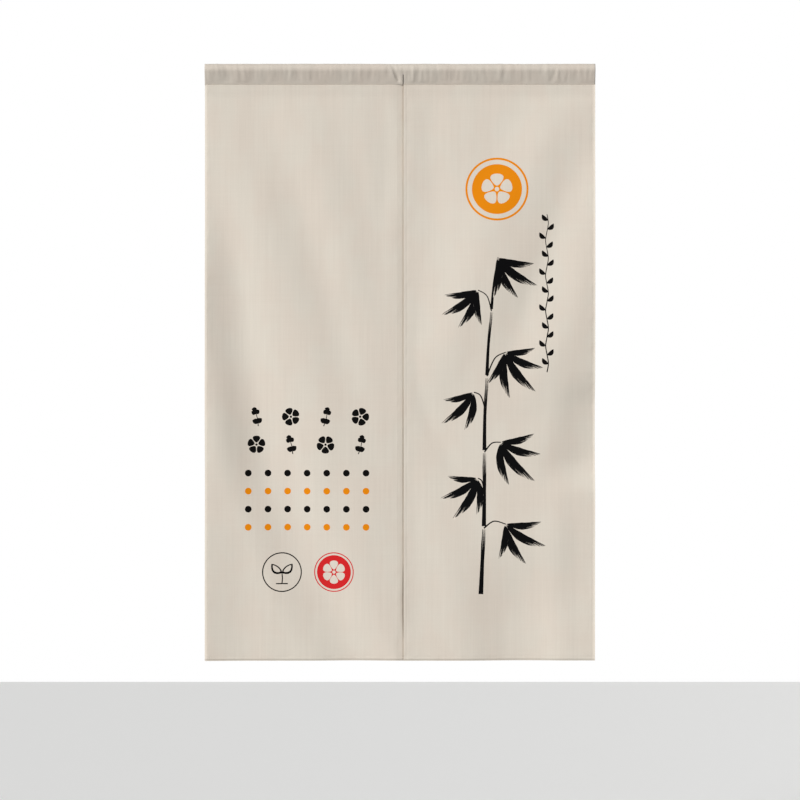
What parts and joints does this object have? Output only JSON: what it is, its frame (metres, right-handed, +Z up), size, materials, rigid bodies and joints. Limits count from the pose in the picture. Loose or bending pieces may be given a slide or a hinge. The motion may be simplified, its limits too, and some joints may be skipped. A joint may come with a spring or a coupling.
{
  "type": "door curtain",
  "caption": "Doorway curtain of lapped cloth panels under a stitched rod pocket, hanging in soft diagonal folds, with a slit between the panels.",
  "frame": {"origin": "on the rod's axis inside the rod pocket, at the middle of the curtain's width", "axes": "+X to the right of a person who faces the printed side, along the rod; -Y points at that person; +Z up"},
  "size_m": [0.85, 0.0278, 1.3],
  "materials": {
    "heading_cloth": "plain linen-look weave, dull",
    "panel_cloth": "plain linen-look weave, dull, printed in black, orange and red on the front"
  },
  "bodies": {
    "root": {"heading": "heading_cloth", "panel_left": "panel_cloth", "panel_right": "panel_cloth"}
  },
  "joints": []
}
